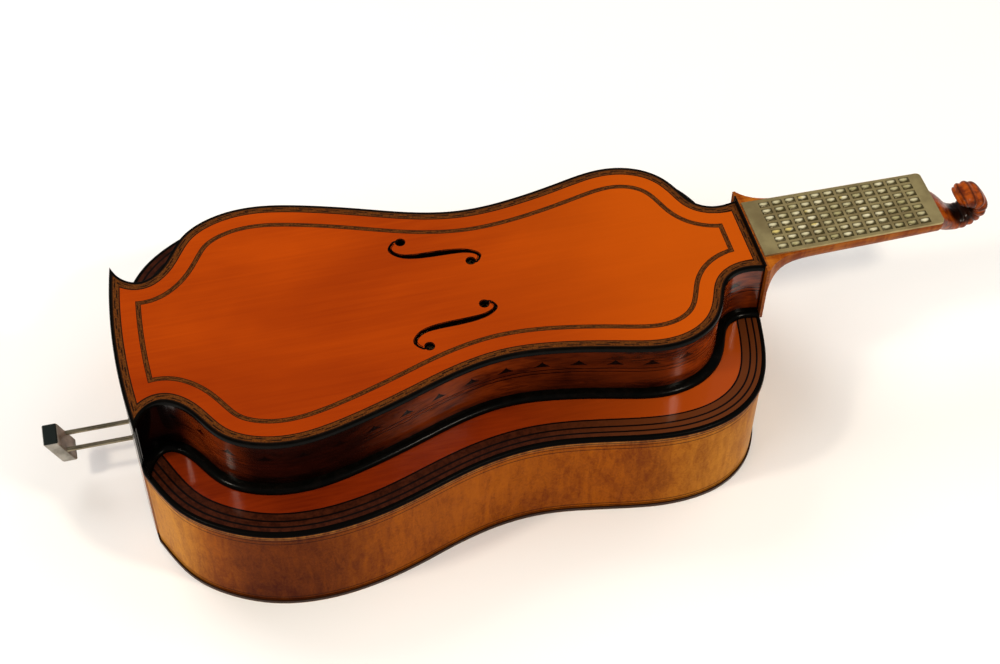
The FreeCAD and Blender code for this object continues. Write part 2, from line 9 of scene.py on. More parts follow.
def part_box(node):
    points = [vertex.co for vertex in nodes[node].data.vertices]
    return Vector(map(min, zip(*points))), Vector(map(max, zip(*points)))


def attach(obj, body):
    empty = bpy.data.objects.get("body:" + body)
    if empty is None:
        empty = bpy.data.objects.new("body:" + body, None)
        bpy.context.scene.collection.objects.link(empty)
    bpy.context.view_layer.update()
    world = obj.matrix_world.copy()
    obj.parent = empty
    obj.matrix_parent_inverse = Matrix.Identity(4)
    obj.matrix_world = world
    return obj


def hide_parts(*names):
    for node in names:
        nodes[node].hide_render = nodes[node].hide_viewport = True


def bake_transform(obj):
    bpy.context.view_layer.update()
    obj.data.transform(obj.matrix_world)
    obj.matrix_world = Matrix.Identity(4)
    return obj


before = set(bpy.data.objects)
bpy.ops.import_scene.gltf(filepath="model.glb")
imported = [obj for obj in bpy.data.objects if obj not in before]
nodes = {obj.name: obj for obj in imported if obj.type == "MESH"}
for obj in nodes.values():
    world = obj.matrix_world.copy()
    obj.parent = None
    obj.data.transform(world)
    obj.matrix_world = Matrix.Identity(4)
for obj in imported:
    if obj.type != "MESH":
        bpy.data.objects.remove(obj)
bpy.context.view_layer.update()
mm = 0.001
print("frame loaded:", len(nodes), "nodes")


def addObject(name, data):
    thing = bpy.data.objects.new(name, data)
    bpy.context.scene.collection.objects.link(thing)
    return thing


view = {
    "place": (0.0583, -0.9349, 1.2618),   # metres
    "heading": 14.80,                     # degrees towards the scroll from straight across
    "tilt": 50.60,                        # degrees down
    "roll": 1.18,                         # degrees
    "lens": 65.29, "sensor": 36,          # millimetres
    "reach": 50,                          # metres
}


def makeCamera():
    heading, tilt, roll = (math.radians(view[key]) for key in ("heading", "tilt", "roll"))
    forward = Vector((math.sin(heading) * math.cos(tilt), math.cos(heading) * math.cos(tilt),
                      -math.sin(tilt)))
    level = Vector((math.cos(heading), -math.sin(heading), 0))
    upright = level.cross(forward)
    right = level * math.cos(roll) + upright * math.sin(roll)
    up = upright * math.cos(roll) - level * math.sin(roll)
    data = bpy.data.cameras.new("camera")
    data.lens, data.sensor_width, data.clip_end = view["lens"], view["sensor"], view["reach"]
    camera = addObject("camera", data)
    turn = Matrix((right, up, -forward)).transposed().to_4x4()
    camera.matrix_world = Matrix.Translation(view["place"]) @ turn
    bpy.context.scene.camera = camera


lamps = {
    # two small warm lamps glint in the varnish; the large white ones only soften the shade
    "lampRight": {"place": (1.05, -0.82, 1.40), "size": 0.20, "power": 10.0, "glint": True},
    "lampLeft": {"place": (-0.86, -0.28, 1.41), "size": 0.20, "power": 8.0, "glint": True},
    "key": {"place": (2.4, 0.7, 2.4), "size": 2.6, "power": 27.0, "glint": False},
    "front": {"place": (-0.2, -2.3, 2.0), "size": 1.8, "power": 7.0, "glint": False},
    "left": {"place": (-1.9, -1.0, 2.2), "size": 1.8, "power": 26.0, "glint": False},
    "back": {"place": (-1.0, 2.0, 2.4), "size": 1.8, "power": 40.0, "glint": False},
}
light = {"warm": (1.0, 0.88, 0.72), "aim": (0.3, 0, 0.05), "sky": (1, 1, 1, 1), "skyPower": 0.27}


def makeLights():
    for name, lamp in lamps.items():
        data = bpy.data.lights.new(name, "AREA")
        data.shape = "DISK"
        data.size, data.energy = lamp["size"], lamp["power"]
        if lamp["glint"]:
            data.color = light["warm"]
        thing = addObject(name, data)
        thing.location = lamp["place"]
        ray = Vector(light["aim"]) - Vector(lamp["place"])
        thing.rotation_euler = ray.to_track_quat("-Z", "Y").to_euler()
        thing.visible_glossy = lamp["glint"]
    world = bpy.data.worlds.new("sky")
    world.use_nodes = True
    sky = world.node_tree.nodes["Background"]
    sky.inputs["Color"].default_value = light["sky"]
    sky.inputs["Strength"].default_value = light["skyPower"]
    bpy.context.scene.world = world
    bpy.context.scene.view_settings.view_transform = "Standard"


makeCamera()
makeLights()
print("camera and lights set")


def paint(code):
    # a web colour as linear red, green and blue, and opaque
    parts = [int(code[i:i + 2], 16) / 255 for i in (1, 3, 5)]
    return tuple(p / 12.92 if p <= 0.04045 else ((p + 0.055) / 1.055) ** 2.4 for p in parts) + (1.0,)


class Wire:
    # a value in a material, with the maths that makes new ones from it
    def __init__(self, shader, socket):
        self.shader = shader
        self.socket = socket

    def maths(self, operation, *values):
        return self.shader.node("ShaderNodeMath", {"operation": operation}, dict(enumerate(values)))

    def __add__(self, other): return self.maths("ADD", self, other)
    def __sub__(self, other): return self.maths("SUBTRACT", self, other)
    def __rsub__(self, other): return self.maths("SUBTRACT", other, self)
    def __mul__(self, other): return self.maths("MULTIPLY", self, other)
    def __truediv__(self, other): return self.maths("DIVIDE", self, other)
    def __pow__(self, other): return self.maths("POWER", self, other)
    def __lt__(self, other): return self.maths("LESS_THAN", self, other)
    def __gt__(self, other): return self.maths("GREATER_THAN", self, other)
    def __abs__(self): return self.maths("ABSOLUTE", self)
    def fraction(self): return self.maths("FRACT", self)
    def atMost(self, other): return self.maths("MINIMUM", self, other)
    def atLeast(self, other): return self.maths("MAXIMUM", self, other)

    def ramp(self, low, high, soft=True):
        # from 0 at the low limit to 1 at the high one
        kind = "SMOOTHSTEP" if soft else "LINEAR"
        return self.shader.node("ShaderNodeMapRange", {"interpolation_type": kind},
                                {"Value": self, "From Min": low, "From Max": high})

    def steps(self, base, steps):
        # the base, changed by the amount of each step between its two limits
        for low, high, amount in steps:
            base = self.ramp(low, high) * amount + base
        return base

    def lines(self, levels, half):
        # 1 within half of a level, 0 elsewhere
        marks = 0.0
        for level in levels:
            marks = (abs(self - level) < half) + marks
        return marks.atMost(1.0)


def weigh(noises, shares, base=0.0):
    # the base and each noise times its share
    for noise, share in zip(noises, shares):
        base = noise * share + base
    return base


class Finish:
    # one material. Its look is a dictionary:
    # noises: stretch along x, y and z, scale, detail, roughness and twist of each; pores: scale of one more
    # shares: how much each noise counts in the tone
    # limits and colours: where the tone goes from the first colour to the second
    # rough: roughness, and what each noise adds to it; metal: metallic
    # gloss: specular level, coat weight and coat roughness
    # bump: which noise is felt on the surface, and its height in metres
    # fade: another colour, and between which two places on an axis it takes over, metres
    def __init__(self, name):
        self.material = bpy.data.materials.new(name)
        self.material.use_nodes = True
        self.tree = self.material.node_tree

    def node(self, kind, settings=None, values=None, output=0):
        made = self.tree.nodes.new(kind)
        for key, value in (settings or {}).items():
            setattr(made, key, value)
        for key, value in (values or {}).items():
            self.feed(made.inputs[key], value)
        return Wire(self, made.outputs[output])

    def feed(self, socket, value):
        if isinstance(value, Wire):
            self.tree.links.new(value.socket, socket)
        else:
            socket.default_value = paint(value) if isinstance(value, str) else value

    def mix(self, factor, low, high):
        # inputs 6 and 7 and output 2 are the ones for colours
        return self.node("ShaderNodeMix", {"data_type": "RGBA"}, {0: factor, 6: low, 7: high}, 2)

    def place(self, stretch=(1, 1, 1)):
        where = self.node("ShaderNodeTexCoord", output="Object")
        return self.node("ShaderNodeMapping", None, {"Vector": where, "Scale": stretch})

    def split(self, where):
        parts = self.node("ShaderNodeSeparateXYZ", None, {"Vector": where}).socket.node.outputs
        return [Wire(self, part) for part in parts]

    def axes(self):
        return self.split(self.place())

    def strip(self):
        # metres along a sweep, and the value across it that the sweep was given
        return self.split(self.node("ShaderNodeUVMap", {"uv_map": "strip"}))[:2]

    def noises(self, look):
        made = []
        for stretch, scale, detail, rough, *twist in look["noises"]:
            values = {"Vector": self.place(stretch), "Scale": scale, "Detail": detail,
                      "Roughness": rough, "Distortion": twist[0] if twist else 0.0}
            made.append(self.node("ShaderNodeTexNoise", None, values))
        if "pores" in look:
            values = {"Vector": self.place(), "Scale": look["pores"]}
            made.append(self.node("ShaderNodeTexVoronoi", None, values))
        return made

    def wood(self, look, noises):
        tone = weigh(noises, look.get("shares", (1,)))
        return self.mix(tone.ramp(*look["limits"]), *look["colours"])

    def fade(self, colour, fade):
        # goes over to another colour between two places on an axis
        along = self.axes()["xyz".index(fade["axis"])]
        share = along.ramp(*fade["span"], fade.get("soft", True)) * fade.get("share", 1.0)
        return self.mix(share, colour, fade["colour"])

    def done(self, look, colour, noises, coat=None):
        values = {"Base Color": colour, "Metallic": look.get("metal", 0.0),
                  "Roughness": weigh(noises, look["rough"][1:], look["rough"][0])}
        values.update(zip(("Specular IOR Level", "Coat Weight", "Coat Roughness"), look.get("gloss", ())))
        if coat is not None:
            values["Coat Weight"] = coat
        if "bump" in look:
            which, height = look["bump"]
            values["Normal"] = self.node("ShaderNodeBump", None, {
                "Height": noises[which], "Distance": height, "Strength": 1.0})
        for key, value in values.items():
            self.feed(self.tree.nodes["Principled BSDF"].inputs[key], value)
        return self.material


spruceLook = {
    "noises": (((0.8, 30, 4), 14, 5, 0.55), ((2.4, 5.5, 3.0), 1.6, 4, 0.55, 0.4)),
    "shares": (0.22, 0.9), "limits": (0.29, 0.87), "colours": ("#862a01", "#b04202"),
    # painted light: the top turns yellower towards the neck
    "neckEndLight": {"axis": "x", "span": (0.22, 0.50), "share": 0.8, "colour": "#b44c02"},
    # painted shade: darker over the near side at the tail end
    "nearSideShade": {"y": (-0.13, 0.05), "x": (0.30, 0.46), "share": 0.42, "colour": "#6e1a01"},
    # painted shade: the sides of the openings nearly black
    "openingShade": {"z": (0.1533, 0.1537), "colour": "#070302"},
    "rough": (0.38, 0.1), "gloss": (0.05, 0.02, 0.16), "bump": (0, 0.00006),
}


def spruceFinish():
    # reddish orange varnish, with painted light making it yellower towards the neck and painted shade making
    # it darker at the near side of the tail; the sides of the openings are painted nearly black as shade
    f, look = Finish("spruce"), spruceLook
    x, y, z = f.axes()
    noises = f.noises(look)
    colour = f.fade(f.wood(look, noises), look["neckEndLight"])
    near, openingShade = look["nearSideShade"], look["openingShade"]
    # painted shade at the near side of the tail end
    share = (1 - y.ramp(*near["y"])) * (1 - x.ramp(*near["x"])) * near["share"]
    colour = f.mix(share, colour, near["colour"])
    # painted shade on the sides of the openings
    colour = f.mix(z.ramp(*openingShade["z"], False), openingShade["colour"], colour)
    return f.done(look, colour, noises)


bandLook = {
    "noises": (((60, 60, 8), 20, 4, 0.6), ((30, 30, 8), 8, 2, 0.5)),
    "limits": (0.3, 0.7), "colours": ("#3a1a06", "#683810"), "dark": "#120a05",
    "edge": (0.34, 0.38), "edgeShare": 0.92,   # distance from the middle, of a width of 1
    "pitch": 0.0230,                           # of the dashes, metres
    "dashes": ((0.0, 0.26, 0.36), (0.42, 0.22, 0.62)),   # shift, half length, place across
    "dashHalf": 0.085, "smear": (0.40, 0.54), "smearShare": 0.5,
    "rough": (0.34, 0.1), "gloss": (0.06, 0.03, 0.12),
}


def bandFinish():
    # brown band, thin dark lines at both edges and broken dark dashes along the middle
    f, look = Finish("purfling"), bandLook
    along, across = f.strip()
    noises = f.noises(look)
    dashes = 0.0
    for shift, length, level in look["dashes"]:
        step = (along / look["pitch"] + shift).fraction()
        dashes = (abs(step - 0.5) < length) * (abs(across - level) < look["dashHalf"]) + dashes
    smear = noises[1].ramp(*look["smear"]) * look["smearShare"] + (1 - look["smearShare"])
    edge = abs(across - 0.5).ramp(*look["edge"])
    dark = (edge * look["edgeShare"] + dashes * smear).atMost(1.0)
    return f.done(look, f.mix(dark, f.wood(look, noises), look["dark"]), noises)


ribLook = {
    "noises": (((5, 5, 26), 7, 6, 0.62, 1.4), ((7, 7, 16), 2.2, 3, 0.55, 0.6)), "shares": (0.5, 0.6),
    "limits": (0.38, 0.74), "colours": ("#160401", "#5c1a06"), "stain": "#090302", "stainShare": 0.85,
    "lit": {"limits": (0.36, 0.70), "colours": ("#380d03", "#8e360a"), "shares": (0.5, 0.6)},
    # painted light: from where to where along the body the lit tone comes or goes, metres, and by how much;
    # the first two steps paint a highlight on the first bulge
    "litSteps": ((0.030, 0.045, 0.5), (0.062, 0.085, -0.5), (0.15, 0.24, 0.8), (0.27, 0.33, -0.5),
                 (0.405, 0.44, 1.1)),
    # painted shade: the foot of the wall darker just above the moulding
    "foot": (0.098, 0.112), "footShadeShare": 0.65, "tail": (0.020, 0.034), "tailColour": "#040202",
    # triangles, fine lines and the black under the edge, metres
    "pitch": 0.0293, "start": -0.0062, "half": 0.0072, "base": 0.1325, "apex": 0.1392, "hollow": 1.6,
    "lines": (0.1280, 0.1240), "line": 0.00045, "edge": 0.1492, "ink": "#050202",
    "rough": (0.2, 0.1), "gloss": (0.04, 0.45, 0.11), "bump": (0, 0.00006),
    "coatSteps": ((0.10, 0.14, -0.3), (0.33, 0.39, 0.5)),
}


def ribFinish():
    # dark polished wood with a row of small hollow-sided black triangles over two fine lines, lit in places
    # by painted light and darkened by painted shade at the foot of the wall
    f, look = Finish("rosewood"), ribLook
    along, height = f.strip()
    x = f.axes()[0]
    noises = f.noises(look)
    dark = f.mix(look["stainShare"], f.wood(look, noises), look["stain"])
    # painted light: lit copies of the wood along the wall
    wood = f.mix(x.steps(0.0, look["litSteps"]), dark, f.wood(look["lit"], noises))
    # painted shade at the foot of the wall
    wood = f.mix(height.ramp(*look["foot"]), f.mix(look["footShadeShare"], wood, look["ink"]), wood)
    wood = f.mix(x.ramp(*look["tail"]), look["tailColour"], wood)
    step = ((along - look["start"]) / look["pitch"]).fraction() - 0.5
    rise = (height - look["base"]) / (look["apex"] - look["base"])
    taper = (1 - rise).atLeast(0.0) ** look["hollow"]
    marks = (abs(step * look["pitch"]) < taper * look["half"]) * (rise > 0.0)
    marks = marks + (height > look["edge"]) + height.lines(look["lines"], look["line"])
    colour = f.mix(marks.atMost(1.0), wood, look["ink"])
    return f.done(look, colour, noises, x.steps(look["gloss"][1], look["coatSteps"]))


curl = ((24, 24, 5), 5, 5, 0.62, 1.0)         # the short upright figure of the lower walls
cloud = ((5.5, 5.5, 4.0), 2.0, 4, 0.6, 0.6)   # and what is under it
burrLook = {
    "noises": (curl, cloud, ((30, 30, 22), 9, 3, 0.6, 1.6)),
    "shares": (0.34, 0.54, 0.26), "limits": (0.40, 0.74), "warm": ("#6a2b03", "#a65606"),
    # painted shade (brown) over the tail bout, a painted reflection (pale) at the tail tip and painted light
    # (pale)
    # towards the neck: where each tone comes or goes along the body, metres, and by how much
    "brown": ("#3e1102", "#6a2d04"), "shadeSteps": ((0.03, 0.07, 0.9), (0.11, 0.19, -0.9)),
    "pale": ("#8e4e0c", "#c88428"), "lightSteps": ((0.010, 0.046, -1.0), (0.36, 0.50, 1.0)),
    # painted highlight: the end by the neck washed pale
    "neckEndHighlight": {"axis": "x", "span": (0.480, 0.512), "share": 0.4, "colour": "#f0c48a"},
    "lines": (0.0910, 0.0880, 0.0838, 0.0073, 0.0044), "line": 0.00052, "inkShare": 0.8, "ink": "#241006",
    "rough": (0.34, 0.1), "gloss": (0.02, 0.02, 0.1), "bump": (0, 0.00006),
}


def burrFinish():
    # golden brown, clouded, with a short upright figure and fine dark lines near both edges; painted shade,
    # painted light and a painted reflection along the body, and a painted highlight at the neck end
    f, look = Finish("burrMaple"), burrLook
    height = f.strip()[1]
    x = f.axes()[0]
    noises = f.noises(look)
    tone = weigh(noises, look["shares"]).ramp(*look["limits"])
    warm, brown, pale = (f.mix(tone, *look[key]) for key in ("warm", "brown", "pale"))
    # painted shade over the tail bout
    wood = f.mix(x.steps(0.0, look["shadeSteps"]), warm, brown)
    # painted reflection at the tail tip and painted light towards the neck
    wood = f.mix(x.steps(1.0, look["lightSteps"]), wood, pale)
    marks = height.lines(look["lines"], look["line"]) * look["inkShare"]
    # painted highlight at the neck end, under the fine dark lines
    return f.done(look, f.mix(marks, f.fade(wood, look["neckEndHighlight"]), look["ink"]), noises)


borderLook = {
    "noises": (((20, 20, 8), 12, 4, 0.6),), "limits": (0.3, 0.7), "colours": ("#260d05", "#3c190b"),
    # painted light: the border lighter towards the neck
    "neckEndLight": {"axis": "x", "span": (0.28, 0.46), "colour": "#5a2c11"},
    "lines": (0.23, 0.54, 0.96), "half": 0.045, "ink": "#080403",   # across, of a width of 1
    "rough": (0.3, 0.06), "gloss": (0.05, 0.1, 0.1),
}


def borderFinish():
    # fine black lines with dark brown between them, across the border of the lower table, with painted light
    # making it lighter towards the neck
    f, look = Finish("border"), borderLook
    across = f.strip()[1]
    noises = f.noises(look)
    wood = f.fade(f.wood(look, noises), look["neckEndLight"])
    return f.done(look, f.mix(across.lines(look["lines"], look["half"]), wood, look["ink"]), noises)


# black from this height up
blackRim = {"axis": "z", "span": (0.0950, 0.0954), "soft": False, "colour": "#050403"}
rimLook = {
    "noises": (curl,), "limits": (0.3, 0.7), "colours": ("#6a3410", "#a0642a"),
    "lines": (0.0932,), "half": 0.0004, "ink": "#241006",
    "rough": (0.28, 0.1), "gloss": (0.03, 0.01, 0.1),
}


def rimFinish():
    # black round the rim of the lower table, and the brown of the walls under it
    f, look = Finish("lowerRim"), rimLook
    noises = f.noises(look)
    line = f.axes()[2].lines(look["lines"], look["half"])
    wood = f.mix(line, f.wood(look, noises), look["ink"])
    return f.done(look, f.fade(wood, blackRim), noises)


endPlateLook = {
    "noises": (((3, 40, 40), 9, 5, 0.62),), "limits": (0.3, 0.7), "colours": ("#6c2c08", "#985214"),
    "before": 0.5186, "half": 0.0405, "black": "#070503",   # up to this x and this far from the middle
    "rough": (0.3, 0.1), "gloss": (0.1, 0.05, 0.1),
}


def endPlateFinish():
    # a thin black line against the table, and the wood of the neck behind it
    f, look = Finish("endPlate"), endPlateLook
    x, y = f.axes()[:2]
    noises = f.noises(look)
    black = (x < look["before"]) * (abs(y) < look["half"])
    return f.done(look, f.mix(black, f.wood(look, noises), look["black"]), noises)


scrollLook = {
    "noises": (((8, 30, 30), 8, 5, 0.62), ((60, 60, 60), 2.2, 3, 0.5), ((1, 1, 1), 260, 3, 0.55)),
    "shares": (0.4, 0.6), "limits": (0.36, 0.66), "colours": ("#581c02", "#a4480a"),
    # painted shade in the creases between the knuckles, which fan out from the eye; x and z in metres,
    # knuckle in radians
    "eye": (0.7125, 0.1430), "knuckle": 0.52, "waver": 0.3, "crease": (0.30, 0.5), "creaseShadeShare": 0.75,
    "creaseFrom": (0.700, 0.706), "creaseShade": "#260b01",
    # painted shade in the hollow under the curl, a ball of this reach drawn out sideways
    "hollow": (0.7075, -0.0018, 0.1415), "stretch": (1, 0.45, 1), "reach": (0.0075, 0.0125),
    "hollowShadeShare": 0.96, "hollowShade": "#060301",
    "rough": (0.3, 0.14), "gloss": (0.12, 0.2, 0.1), "bump": (2, 0.0007),
}


def scrollFinish():
    # red brown and lumpy from the knife, with painted shade in the creases between the knuckles and in the
    # hollow under the curl
    f, look = Finish("scrollWood"), scrollLook
    x, _, z = f.axes()
    noises = f.noises(look)
    rise = z - look["eye"][1]
    turn = rise.maths("ARCTAN2", rise, x - look["eye"][0])
    knuckles = (turn / look["knuckle"] + 20 + noises[1] * look["waver"]).fraction()   # 20 keeps it above 0
    crease = abs(knuckles - 0.5).ramp(*look["crease"]) * x.ramp(*look["creaseFrom"])
    # painted shade in the creases
    wood = f.mix(crease * look["creaseShadeShare"], f.wood(look, noises), look["creaseShade"])
    away = f.node("ShaderNodeVectorMath", {"operation": "DISTANCE"},
                  {0: f.place(look["stretch"]), 1: look["hollow"]}, "Value")
    # painted shade in the hollow under the curl
    colour = f.mix((1 - away.ramp(*look["reach"])) * look["hollowShadeShare"], wood, look["hollowShade"])
    return f.done(look, colour, noises)


capLook = {
    "noises": (((1, 1, 1), 140, 3, 0.6), ((1, 1, 1), 48, 2, 0.5)),
    "shares": (0, 1), "limits": (0.35, 0.7), "colours": ("#b4ab78", "#f4ecc6"),
    # edge is the colour of the painted shade at the edges of each button
    "gold": "#d8bc3c", "goldLimits": (0.655, 0.68), "goldShare": 0.7, "edge": "#4a4120",
    # the painted highlight on the crown of each button, a little off its middle, and painted shade at its
    # edges, metres; first and pitch are those of the keys
    "first": 0.538, "pitch": (0.01137, 0.00795), "middle": (0.44, 0.56), "half": (0.0043, 0.0026),
    "crownHighlight": (0.03, 0.95),
    "rough": (0.22, 0.14), "metal": 0.35, "bump": (0, 0.00003),
}


def capFinish():
    # olive brass, with painted shade at the edges of each button and a painted highlight on its crown
    f, look = Finish("capBrass"), capLook
    x, y = f.axes()[:2]
    noises = f.noises(look)
    pitchX, pitchY = look["pitch"]
    u = ((x - look["first"]) / pitchX + 0.5).fraction() - look["middle"][0]
    v = (y / pitchY + 20.5).fraction() - look["middle"][1]   # 20 keeps it above 0
    u, v = u * (pitchX / look["half"][0]), v * (pitchY / look["half"][1])
    crownHighlight = 1 - (u * u + v * v).ramp(*look["crownHighlight"])
    gold = noises[1].ramp(*look["goldLimits"]) * look["goldShare"]
    bright = f.mix(gold, f.wood(look, noises), look["gold"])
    # painted highlight on each crown and painted shade at its edges
    return f.done(look, f.mix(crownHighlight, look["edge"], bright), noises)


gripLook = {
    "noises": (((40, 40, 40), 12, 3, 0.6), ((1, 1, 1), 60, 4, 0.6)),
    "shares": (0, 1), "limits": (0.35, 0.68), "colours": ("#7d786c", "#b4aea2"),
    "skin": 0.0006,   # how deep the face and top colours reach, metres
    "face": "#5e5538", "top": "#141c18",
    "rough": (0.3, 0.12), "metal": 0.25, "bump": (0, 0.00003),
}


def gripFinish():
    # pale grey sides, a dull face and a nearly black top
    f, look = Finish("gripMetal"), gripLook
    x, _, z = f.axes()
    noises = f.noises(look)
    face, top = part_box("grip")[1][0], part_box("grip")[1][2]
    grey = f.mix(x > face - look["skin"], f.wood(look, noises), look["face"])
    return f.done(look, f.mix(z > top - look["skin"], grey, look["top"]), noises)


floorLook = {
    "noises": (((1, 1, 1), 3, 2, 0.5),), "colours": ((0.95, 0.94, 0.91, 1), (0.97, 0.96, 0.94, 1)),
    "rough": (0.8,),
}


def floorFinish():
    f, look = Finish("floor"), floorLook
    noises = f.noises(look)
    return f.done(look, f.mix(noises[0], *look["colours"]), noises)


boardLook = {
    # glossy black beside the upper body, and the wood of the walls below the lower table
    "noises": (curl, cloud), "shares": (0.45, 0.6), "limits": (0.38, 0.72), "fade": blackRim,
    "rough": (0.18, 0.08), "gloss": (0.3, 0.3, 0.06),
}
plainLooks = {
    "tailBoard": {**boardLook, "colours": ("#642c06", "#a8681e")},
    "endBlock": {**boardLook, "colours": ("#8e5212", "#cc8c38")},
    "darkTop": {
        "noises": (((3, 34, 4), 12, 5, 0.6), ((4, 6, 4), 2.6, 3, 0.5)), "shares": (0.4, 0.6),
        "limits": (0.3, 0.7), "colours": ("#5c1602", "#7c2604"),
        # painted light: the lower table lighter towards the neck
        "fade": {"axis": "x", "span": (0.25, 0.48), "colour": "#a04008"},
        "rough": (0.3, 0.08), "gloss": (0.05, 0.4, 0.14), "bump": (0, 0.00005)},
    "backWood": {
        # brown underneath and a dark edge all round
        "noises": (((3, 26, 8), 9, 5, 0.6), ((4, 6, 4), 2.4, 3, 0.5)), "shares": (0.4, 0.6),
        "limits": (0.3, 0.7), "colours": ("#7a3e10", "#b07028"),
        "fade": {"axis": "z", "span": (0.0002, 0.0004), "soft": False, "colour": "#2a1407"},
        "rough": (0.3, 0.12), "gloss": (0.15, 0.1, 0.12)},
    "neckWood": {
        "noises": (((3, 40, 40), 9, 5, 0.62), ((60, 6, 6), 2.2, 3, 0.5, 0.6)), "shares": (0.5, 0.55),
        "limits": (0.36, 0.68), "colours": ("#762f06", "#a85e18"),
        "rough": (0.34, 0.14), "gloss": (0.03, 0.02, 0.12), "bump": (0, 0.0001)},
    "ebony": {
        "noises": (((12, 12, 60), 10, 4, 0.6), ((1, 1, 1), 60, 3, 0.6)),
        "limits": (0.4, 0.75), "colours": ("#030302", "#0a0705"),
        "rough": (0.14, 0, 0.12), "gloss": (0.05, 0.01, 0.08), "bump": (1, 0.00003)},
    "pine": {
        "noises": (((4, 40, 40), 8, 5, 0.6),), "limits": (0.3, 0.7), "colours": ("#9c7442", "#cda772"),
        "rough": (0.6, 0.15), "bump": (0, 0.0002)},
    "plateMetal": {
        "noises": (((10, 260, 20), 6, 4, 0.6), ((6, 6, 6), 5, 4, 0.6)), "shares": (0, 1),
        "limits": (0.3, 0.72), "colours": ("#96845a", "#bead7a"),
        "rough": (0.36, 0.12, 0.08), "metal": 0.75, "bump": (0, 0.00003)},
    "steel": {
        "noises": (((8, 160, 160), 5, 4, 0.6), ((1, 1, 1), 70, 4, 0.65)), "shares": (0.5, 0.5),
        "limits": (0.35, 0.68), "colours": ("#6b6250", "#a89d82"),
        "rough": (0.22, 0.14), "metal": 0.9, "bump": (0, 0.00003)},
    "brass": {
        "noises": (((1, 1, 1), 90, 4, 0.6),), "limits": (0.3, 0.7), "colours": ("#8a6a2a", "#c9a55a"),
        "rough": (0.3, 0.15), "metal": 0.9, "bump": (0, 0.00003)},
    "leather": {
        "noises": (((1, 1, 1), 22, 4, 0.6),), "pores": 900.0,
        "limits": (0.3, 0.7), "colours": ("#3b1d0e", "#6e3d20"), "rough": (0.5, 0.2), "bump": (1, 0.0002)},
}


def plainFinish(name, look):
    f = Finish(name)
    noises = f.noises(look)
    colour = f.wood(look, noises)
    if "fade" in look:
        colour = f.fade(colour, look["fade"])
    return f.done(look, colour, noises)


looks = {name: plainFinish(name, look) for name, look in plainLooks.items()}
looks.update({
    "spruce": spruceFinish(), "purfling": bandFinish(), "rosewood": ribFinish(), "burrMaple": burrFinish(),
    "border": borderFinish(), "lowerRim": rimFinish(), "endPlate": endPlateFinish(),
    "scrollWood": scrollFinish(), "capBrass": capFinish(), "gripMetal": gripFinish(), "floor": floorFinish(),
})
print("finishes made:", len(looks))

body = {
    # millimetres; z from the outer face of the back, x from the tail towards the neck
    "length": 520.0, "tailBulge": 8.0, "tailCorner": (-1.6, 85.0), "neckCorner": 39.5,
    "lowerTop": 98.0, "upperTop": 154.0, "lowerUnder": 92.0, "upperUnder": 150.0, "back": 3.0,
    "overhang": 1.5, "rib": 3.0, "tailPlate": 3.0, "tailPlateHalf": 78.0,
    "upperEnd": 517.4, "lowerEnd": 518.5,   # where the walls stop at the neck
}
tailCorner, neckCorner = body["tailCorner"], (body["length"], body["neckCorner"])
# distance from the tail and half width along each outline
lowerHalf = [tailCorner, (6, 101.5), (21, 126.3), (49.5, 150.3), (85, 165.5), (122, 170.0),
             (187, 160.0), (255, 138.3), (305, 131.7), (369, 139.9), (425, 146.1), (470, 135.8),
             (494, 116.5), (509, 88.4), (517.4, 54.1), neckCorner]
upperHalf = [tailCorner, (5.5, 71.0), (20, 63.0), (36, 71.0), (48.4, 88.0), (60, 104.5),
             (84, 119.5), (116, 124.8), (162, 117.0), (210, 101.8), (252, 87.8), (291, 81.1),
             (332, 84.0), (378, 93.6), (419, 100.5), (446, 94.5), (464, 81.0), (475, 62.0),
             (484, 45.0), (497, 37.6), neckCorner]
points = {
    # how many on each curve while it is worked out, and then in the meshes
    "curve": 1200, "side": 700, "end": 80, "tail": 200, "longTail": 300,
    "ring": (260, 24, 260, 48), "course": (6, 300), "across": 26,
}
lead = {
    # how lines run on to meet the tail plate: by this length, in the direction of this many points,
    # and against a tail made longer by this factor; slack is for lines that end on the tail itself
    "length": 25.0, "from": 8, "tail": 1.4, "slack": 0.3,
}
tiny, weld = 1e-6, 1e-7
mirrored = np.array([1, -1])


def smoothLine(line, count):
    # an even walk along the curve that bends least through the points
    p = np.array(line, float)
    t = np.concatenate([[0], np.cumsum(np.linalg.norm(np.diff(p, axis=0), axis=1))])
    n = len(p)
    h = np.diff(t)
    a = np.zeros((n, n))
    b = np.zeros((n, p.shape[1]))
    a[0, 0] = a[-1, -1] = 1
    for i in range(1, n - 1):
        a[i, i - 1:i + 2] = h[i - 1], 2 * (h[i - 1] + h[i]), h[i]
        b[i] = 6 * ((p[i + 1] - p[i]) / h[i] - (p[i] - p[i - 1]) / h[i - 1])
    m = np.linalg.solve(a, b)
    out = []
    for s in np.linspace(0, t[-1], points["curve"]):
        i = min(np.searchsorted(t, s, "right") - 1, n - 2)
        u, v = t[i + 1] - s, s - t[i]
        out.append((m[i] * u ** 3 + m[i + 1] * v ** 3) / (6 * h[i])
                   + (p[i] / h[i] - m[i] * h[i] / 6) * u + (p[i + 1] / h[i] - m[i + 1] * h[i] / 6) * v)
    return evenly(np.array(out), count)


def evenly(line, count):
    run = np.concatenate([[0], np.cumsum(np.linalg.norm(np.diff(line, axis=0), axis=1))])
    want = np.linspace(0, run[-1], count)
    return np.stack([np.interp(want, run, line[:, k]) for k in range(line.shape[1])], 1)


